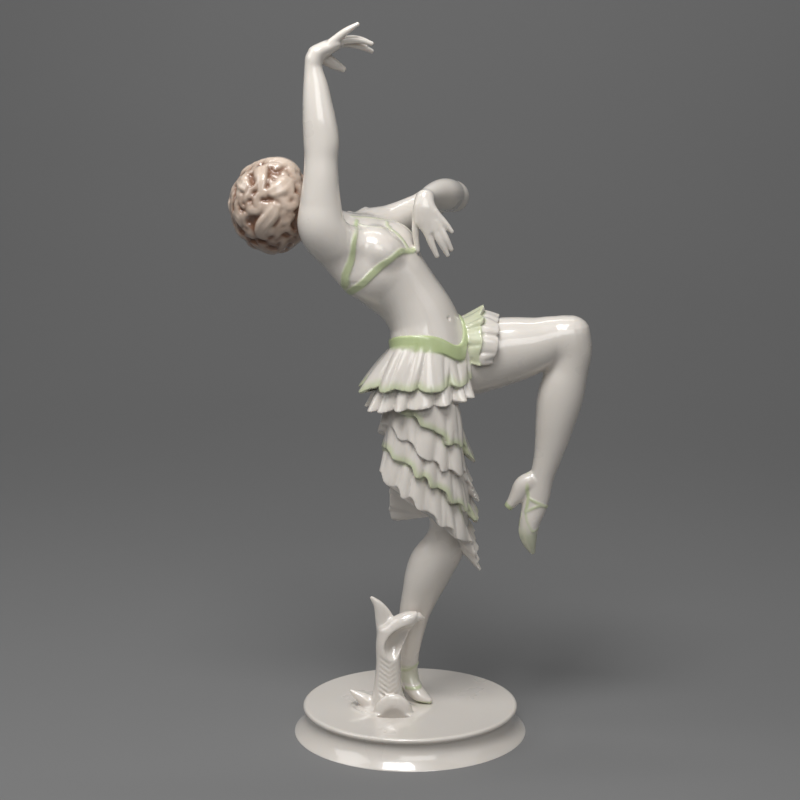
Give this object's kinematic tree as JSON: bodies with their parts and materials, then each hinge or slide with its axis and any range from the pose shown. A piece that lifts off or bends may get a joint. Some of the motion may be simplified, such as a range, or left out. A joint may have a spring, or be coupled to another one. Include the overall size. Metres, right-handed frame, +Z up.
{
  "type": "porcelain dancer figurine",
  "caption": "Glazed porcelain dancer on a round base, one knee lifted, leaning far back with an arm raised, in a flounced skirt.",
  "frame": {"origin": "centre of the round base's underside, on the surface it stands on", "axes": "+Z up, +X the way the dancer faces and lifts her knee, +Y towards her left side"},
  "size_m": [0.182, 0.12, 0.3602],
  "materials": {
    "glazed_porcelain": "warm white porcelain under a clear, very glossy glaze, with pale green painted bands",
    "hair_glaze": "brown underglaze colour, thin on the crests of the curls and dark in the hollows, under a glossy glaze"
  },
  "bodies": {
    "root": {"dancer_figurine": "glazed_porcelain"}
  },
  "joints": []
}
